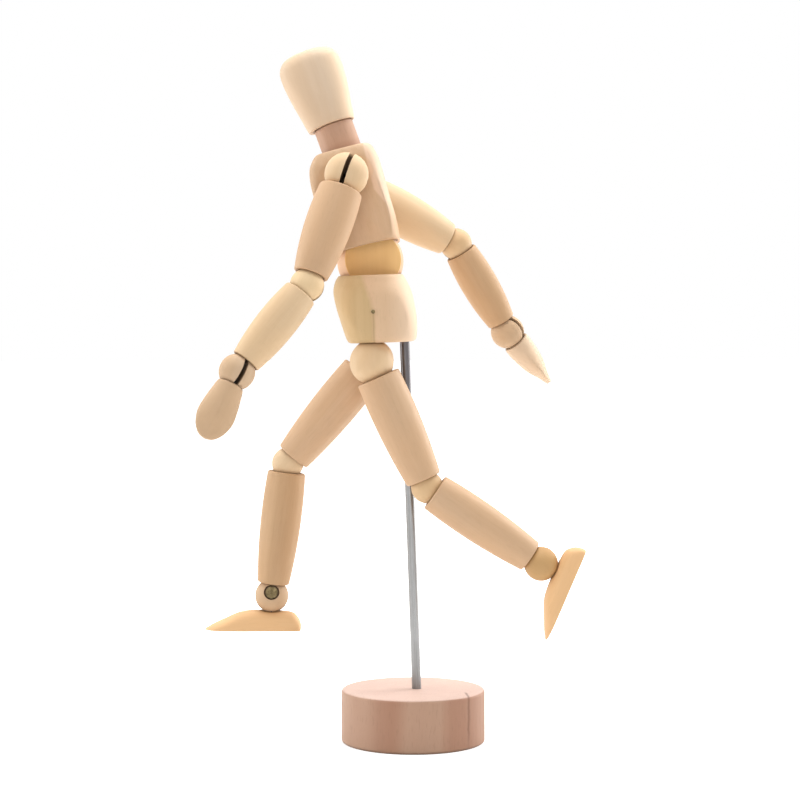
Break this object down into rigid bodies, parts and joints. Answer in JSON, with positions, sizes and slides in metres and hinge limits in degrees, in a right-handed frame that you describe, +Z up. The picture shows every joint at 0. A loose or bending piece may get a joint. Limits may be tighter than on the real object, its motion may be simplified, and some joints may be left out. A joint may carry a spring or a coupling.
{
  "type": "jointed artist mannequin",
  "caption": "Wooden artist's figure with ball-jointed limbs, held mid-stride on a steel rod over a round wooden base; poses by hand for drawing.",
  "frame": {"origin": "centre of the base's underside", "axes": "+Z up, the figure faces -Y, its left side is +X"},
  "size_m": [0.1051, 0.1629, 0.2951],
  "materials": {
    "pale_wood": "sanded, unvarnished",
    "tan_wood": "sanded, unvarnished",
    "pink_wood": "sanded, unvarnished",
    "steel": "plain drawn steel"
  },
  "bodies": {
    "stand": {"base": "pink_wood", "stand_rod": "steel"},
    "pelvis": {"pelvis": "tan_wood", "pelvis_pin": "steel", "hip_springs": "steel"},
    "waist": {"waist": "tan_wood"},
    "spine": {"spine_spring": "steel"},
    "chest": {"chest": "pale_wood", "shoulder_spring": "steel"},
    "neck": {"neck": "pink_wood"},
    "head": {"head": "pale_wood", "head_pin": "steel"},
    "left_shoulder": {"left_shoulder_ball": "pale_wood", "left_shoulder_pin": "steel"},
    "left_elbow": {"left_elbow_ball": "pale_wood", "left_elbow_pin": "steel"},
    "left_wrist": {"left_wrist_ball": "pale_wood", "left_wrist_pin": "steel"},
    "left_hip": {"left_hip_ball": "pale_wood", "left_hip_pin": "steel"},
    "left_knee": {"left_knee_ball": "pale_wood", "left_knee_pin": "steel"},
    "left_ankle": {"left_ankle_ball": "pale_wood", "left_ankle_screw": "steel"},
    "left_upper_arm": {"left_upper_arm": "pale_wood", "left_upper_arm_spring": "steel"},
    "left_forearm": {"left_forearm": "pale_wood", "left_forearm_spring": "steel"},
    "left_thigh": {"left_thigh": "pink_wood", "left_thigh_spring": "steel"},
    "left_shin": {"left_shin": "pink_wood", "left_shin_spring": "steel"},
    "left_hand": {"left_hand": "pale_wood", "left_hand_eye": "steel"},
    "left_foot": {"left_foot": "tan_wood", "left_foot_eye": "steel"},
    "right_shoulder": {"right_shoulder_ball": "pale_wood", "right_shoulder_pin": "steel"},
    "right_elbow": {"right_elbow_ball": "pale_wood", "right_elbow_pin": "steel"},
    "right_wrist": {"right_wrist_ball": "pale_wood", "right_wrist_pin": "steel"},
    "right_hip": {"right_hip_ball": "pale_wood", "right_hip_pin": "steel"},
    "right_knee": {"right_knee_ball": "pale_wood", "right_knee_pin": "steel"},
    "right_ankle": {"right_ankle_ball": "pale_wood", "right_ankle_screw": "steel"},
    "right_upper_arm": {"right_upper_arm": "pale_wood", "right_upper_arm_spring": "steel"},
    "right_forearm": {"right_forearm": "pale_wood", "right_forearm_spring": "steel"},
    "right_thigh": {"right_thigh": "pink_wood", "right_thigh_spring": "steel"},
    "right_shin": {"right_shin": "pink_wood", "right_shin_spring": "steel"},
    "right_hand": {"right_hand": "pale_wood", "right_hand_eye": "steel"},
    "right_foot": {"right_foot": "tan_wood", "right_foot_eye": "steel"}
  },
  "joints": [
    {"name": "pelvis_swivel", "type": "hinge", "parent": "stand", "child": "pelvis", "pos_m": [0, -0.00367, 0.17061], "axis": [0, -0.0349, 0.9994], "continuous": true},
    {"name": "waist_lean", "type": "hinge", "parent": "pelvis", "child": "waist", "pos_m": [-0.00116, -0.0181, 0.20423], "axis": [0.0872, 0.9956, 0.0348], "range_deg": [-13, 23], "deforming": ["spine_spring"]},
    {"name": "waist_bend", "type": "hinge", "parent": "waist", "child": "spine", "pos_m": [-0.00116, -0.0181, 0.20423], "axis": [0.9924, -0.0898, 0.0841], "range_deg": [-32, 16], "deforming": ["spine_spring"]},
    {"name": "chest_turn", "type": "hinge", "parent": "spine", "child": "chest", "pos_m": [-0.00116, -0.0181, 0.20423], "axis": [-0.103, -0.2336, 0.9669], "range_deg": [-56, 64], "deforming": ["spine_spring"]},
    {"name": "neck_nod", "type": "hinge", "parent": "chest", "child": "neck", "pos_m": [-0.00663, -0.03088, 0.2546], "axis": [0.9853, -0.1571, 0.0671], "range_deg": [-28, 16], "deforming": ["spine_spring"]},
    {"name": "head_turn", "type": "hinge", "parent": "neck", "child": "head", "pos_m": [-0.00686, -0.03155, 0.25647], "axis": [-0.1167, -0.3326, 0.9358], "range_deg": [-80, 80], "deforming": ["spine_spring"]},
    {"name": "left_arm_swing", "type": "hinge", "parent": "chest", "child": "left_shoulder", "pos_m": [0.02201, -0.02961, 0.23949], "axis": [0.9853, -0.1571, 0.0671], "range_deg": [-128, 107], "deforming": ["shoulder_spring"]},
    {"name": "left_arm_lift", "type": "hinge", "parent": "left_shoulder", "child": "left_upper_arm", "pos_m": [0.02201, -0.02961, 0.23949], "axis": [-0.1702, -0.9375, 0.3035], "range_deg": [0, 72]},
    {"name": "left_elbow_twist", "type": "hinge", "parent": "left_upper_arm", "child": "left_elbow", "pos_m": [0.03383, -0.0465, 0.19394], "axis": [-0.2364, 0.3378, 0.911], "range_deg": [-80, 80], "deforming": ["left_upper_arm_spring"]},
    {"name": "left_elbow_bend", "type": "hinge", "parent": "left_elbow", "child": "left_forearm", "pos_m": [0.03383, -0.0465, 0.19394], "axis": [0.9566, -0.0833, 0.2791], "range_deg": [-41, 79]},
    {"name": "left_wrist_twist", "type": "hinge", "parent": "left_forearm", "child": "left_wrist", "pos_m": [0.04153, -0.07511, 0.15901], "axis": [-0.1682, 0.6246, 0.7626], "range_deg": [-80, 80], "deforming": ["left_forearm_spring"]},
    {"name": "left_hand_bend", "type": "hinge", "parent": "left_wrist", "child": "left_hand", "pos_m": [0.04153, -0.07511, 0.15901], "axis": [-0.2779, 0.8312, -0.4816], "range_deg": [-50, 50]},
    {"name": "right_arm_swing", "type": "hinge", "parent": "chest", "child": "right_shoulder", "pos_m": [-0.0312, -0.02113, 0.23587], "axis": [0.9853, -0.1571, 0.0671], "range_deg": [-207.6, 27.4], "deforming": ["shoulder_spring"]},
    {"name": "right_arm_lift", "type": "hinge", "parent": "right_shoulder", "child": "right_upper_arm", "pos_m": [-0.0312, -0.02113, 0.23587], "axis": [0.0158, 0.4745, 0.8801], "range_deg": [-5, 67]},
    {"name": "right_elbow_twist", "type": "hinge", "parent": "right_upper_arm", "child": "right_elbow", "pos_m": [-0.03833, 0.02248, 0.21249], "axis": [0.1427, -0.8723, 0.4678], "range_deg": [-80, 80], "deforming": ["right_upper_arm_spring"]},
    {"name": "right_elbow_bend", "type": "hinge", "parent": "right_elbow", "child": "right_forearm", "pos_m": [-0.03833, 0.02248, 0.21249], "axis": [0.9896, 0.1182, -0.0815], "range_deg": [-30, 90]},
    {"name": "right_wrist_twist", "type": "hinge", "parent": "right_forearm", "child": "right_wrist", "pos_m": [-0.04435, 0.04621, 0.17378], "axis": [0.1315, -0.5181, 0.8451], "range_deg": [-80, 80], "deforming": ["right_forearm_spring"]},
    {"name": "right_hand_bend", "type": "hinge", "parent": "right_wrist", "child": "right_hand", "pos_m": [-0.04435, 0.04621, 0.17378], "axis": [0.7598, -0.4178, -0.4982], "range_deg": [-50, 50]},
    {"name": "left_hip_twist", "type": "hinge", "parent": "pelvis", "child": "left_hip", "pos_m": [0.01172, -0.01856, 0.16189], "axis": [0, -0.0349, 0.9994], "range_deg": [-25, 5], "deforming": ["hip_springs"]},
    {"name": "left_thigh_swing", "type": "hinge", "parent": "left_hip", "child": "left_thigh", "pos_m": [0.01172, -0.01856, 0.16189], "axis": [0.9962, -0.0871, -0.003], "range_deg": [-92, 18]},
    {"name": "left_knee_twist", "type": "hinge", "parent": "left_thigh", "child": "left_knee", "pos_m": [0.01359, 0.00463, 0.10963], "axis": [-0.0326, -0.4053, 0.9136], "range_deg": [-20, 20], "deforming": ["left_thigh_spring"]},
    {"name": "left_knee_bend", "type": "hinge", "parent": "left_knee", "child": "left_shin", "pos_m": [0.01359, 0.00463, 0.10963], "axis": [0.9962, -0.0871, -0.003], "range_deg": [-82, 20]},
    {"name": "left_ankle_twist", "type": "hinge", "parent": "left_shin", "child": "left_ankle", "pos_m": [0.01765, 0.0522, 0.07741], "axis": [-0.0705, -0.826, 0.5593], "range_deg": [-40, 40], "deforming": ["left_shin_spring"]},
    {"name": "left_foot_bend", "type": "hinge", "parent": "left_ankle", "child": "left_foot", "pos_m": [0.01765, 0.0522, 0.07741], "axis": [0.9962, -0.0871, -0.003], "range_deg": [-40.5, 21.5]},
    {"name": "right_hip_twist", "type": "hinge", "parent": "pelvis", "child": "right_hip", "pos_m": [-0.01418, -0.01629, 0.16196], "axis": [0, -0.0349, 0.9994], "range_deg": [-25, 15], "deforming": ["hip_springs"]},
    {"name": "right_thigh_swing", "type": "hinge", "parent": "right_hip", "child": "right_thigh", "pos_m": [-0.01418, -0.01629, 0.16196], "axis": [0.9962, -0.0871, -0.003], "range_deg": [-28.5, 81.5]},
    {"name": "right_knee_twist", "type": "hinge", "parent": "right_thigh", "child": "right_knee", "pos_m": [-0.01748, -0.05253, 0.11783], "axis": [0.0578, 0.6336, 0.7715], "range_deg": [-20, 20], "deforming": ["right_thigh_spring"]},
    {"name": "right_knee_bend", "type": "hinge", "parent": "right_knee", "child": "right_shin", "pos_m": [-0.01748, -0.05253, 0.11783], "axis": [0.9962, -0.0871, -0.003], "range_deg": [-82.5, 19.5]},
    {"name": "right_ankle_twist", "type": "hinge", "parent": "right_shin", "child": "right_ankle", "pos_m": [-0.01827, -0.05952, 0.06066], "axis": [0.0136, 0.1213, 0.9925], "range_deg": [-40, 40], "deforming": ["right_shin_spring"]},
    {"name": "right_foot_bend", "type": "hinge", "parent": "right_ankle", "child": "right_foot", "pos_m": [-0.01827, -0.05952, 0.06066], "axis": [0.9408, -0.0404, 0.3366], "range_deg": [-36.5, 25.5]}
  ]
}
